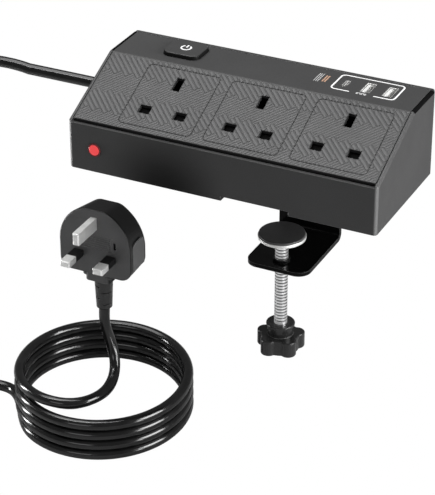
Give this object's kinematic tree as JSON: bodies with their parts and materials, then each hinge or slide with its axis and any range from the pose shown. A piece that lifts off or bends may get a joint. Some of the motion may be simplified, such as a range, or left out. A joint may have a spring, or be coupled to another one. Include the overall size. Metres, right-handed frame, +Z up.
{
  "type": "desk power strip",
  "caption": "Wedge-shaped desk power strip with British sockets, USB ports, power button, under-desk screw clamp and coiled mains cord with plug.",
  "frame": {"origin": "centre of the housing's flat underside", "axes": "+Z up, +X to the right seen from the front, the front wall faces -Y"},
  "size_m": [0.3314, 0.117, 0.248],
  "materials": {
    "housing_plastic": "fine satin",
    "cover_plastic": "fine texture",
    "button_plastic": "satin",
    "inner_plastic": "plain",
    "shutter_plastic": "plain",
    "spring_steel": "drawn wire",
    "contact_brass": "plain",
    "small_screws": "zinc plated",
    "red_plastic": "glossy",
    "dark_red_plastic": "glossy",
    "breaker_plastic": "plain",
    "circuit_board": "board",
    "port_steel": "nickel plated",
    "tongue_plastic": "plain",
    "transformer_tape": "tape",
    "capacitor_can": "can",
    "live_insulation": "cable sheath",
    "neutral_insulation": "cable sheath",
    "earth_insulation": "cable sheath",
    "cord_rubber": "glossy sheath",
    "plug_plastic": "satin moulding",
    "pin_brass": "nickel plated",
    "fuse_ceramic": "ceramic tube",
    "black_steel": "black powder coat",
    "zinc_screw": "bright zinc",
    "pad_rubber": "matte",
    "knob_plastic": "moulded"
  },
  "bodies": {
    "housing": {"board_screws": "small_screws", "bracket_screws": "small_screws", "cable_strain_relief": "cord_rubber", "carrier_screws": "small_screws", "casing_tray": "housing_plastic", "clamp_bracket": "black_steel", "cord_grip": "inner_plastic", "cord_grip_screws": "small_screws", "cover_screws": "small_screws", "earth_busbar": "contact_brass", "earth_wire": "earth_insulation", "foot_pads": "pad_rubber", "live_busbar": "contact_brass", "live_wire": "live_insulation", "mains_cable": "cord_rubber", "neutral_busbar": "contact_brass", "neutral_wire": "neutral_insulation", "overload_breaker": "breaker_plastic", "pin_sleeves": "plug_plastic", "plug_body": "plug_plastic", "plug_boot": "cord_rubber", "plug_earth_pin": "pin_brass", "plug_live_pin": "pin_brass", "plug_neutral_pin": "pin_brass", "reset_bezel": "dark_red_plastic", "shutter_spring_1": "spring_steel", "shutter_spring_2": "spring_steel", "shutter_spring_3": "spring_steel", "socket_carrier_1": "inner_plastic", "socket_carrier_2": "inner_plastic", "socket_carrier_3": "inner_plastic", "switch_body": "inner_plastic", "switch_spring": "spring_steel", "thread_bush": "black_steel", "top_cover": "cover_plastic", "usb_a_port_left": "port_steel", "usb_a_port_right": "port_steel", "usb_a_tongue_left": "tongue_plastic", "usb_a_tongue_right": "tongue_plastic", "usb_board": "circuit_board", "usb_c_port": "port_steel", "usb_capacitors": "capacitor_can", "usb_transformer": "transformer_tape"},
    "power_button": {"power_button": "button_plastic"},
    "reset_button": {"reset_button": "red_plastic"},
    "shutter_1": {"shutter_1": "shutter_plastic"},
    "shutter_2": {"shutter_2": "shutter_plastic"},
    "shutter_3": {"shutter_3": "shutter_plastic"},
    "pad": {"pad_disc": "zinc_screw", "pad_rubber": "pad_rubber"},
    "screw": {"clamp_screw": "zinc_screw", "clamp_knob": "knob_plastic"},
    "fuse_drawer": {"fuse_carrier": "plug_plastic", "plug_fuse": "fuse_ceramic"}
  },
  "joints": [
    {"name": "power_button_press", "type": "slide", "parent": "housing", "child": "power_button", "axis": [0, 0, -1], "range_m": [0, 0.0022], "stiffness_N_per_m": 900, "springref_m": -0.001, "deforming": ["switch_spring"]},
    {"name": "reset_button_pop", "type": "slide", "parent": "housing", "child": "reset_button", "axis": [0, -1, 0], "range_m": [0, 0.002]},
    {"name": "shutter_1_slide", "type": "slide", "parent": "housing", "child": "shutter_1", "axis": [0, -0.9116, -0.4111], "range_m": [0, 0.0074], "stiffness_N_per_m": 60, "springref_m": -0.002, "deforming": ["shutter_spring_1"]},
    {"name": "shutter_2_slide", "type": "slide", "parent": "housing", "child": "shutter_2", "axis": [0, -0.9116, -0.4111], "range_m": [0, 0.0074], "stiffness_N_per_m": 60, "springref_m": -0.002, "deforming": ["shutter_spring_2"]},
    {"name": "shutter_3_slide", "type": "slide", "parent": "housing", "child": "shutter_3", "axis": [0, -0.9116, -0.4111], "range_m": [0, 0.0074], "stiffness_N_per_m": 60, "springref_m": -0.002, "deforming": ["shutter_spring_3"]},
    {"name": "pad_lift", "type": "slide", "parent": "housing", "child": "pad", "axis": [0, 0, 1], "range_m": [-0.008, 0.0315]},
    {"name": "screw_turn", "type": "hinge", "parent": "pad", "child": "screw", "pos_m": [0.022, -0.0025, -0.1], "axis": [0, 0, 1], "range_deg": [-1450, 5680]},
    {"name": "fuse_drawer_slide", "type": "slide", "parent": "housing", "child": "fuse_drawer", "axis": [0, -1, 0], "range_m": [0, 0.012]}
  ],
  "couplings": [
    {"joint": "screw_turn", "follows": "pad_lift", "rad_per_m": 3141.6}
  ]
}
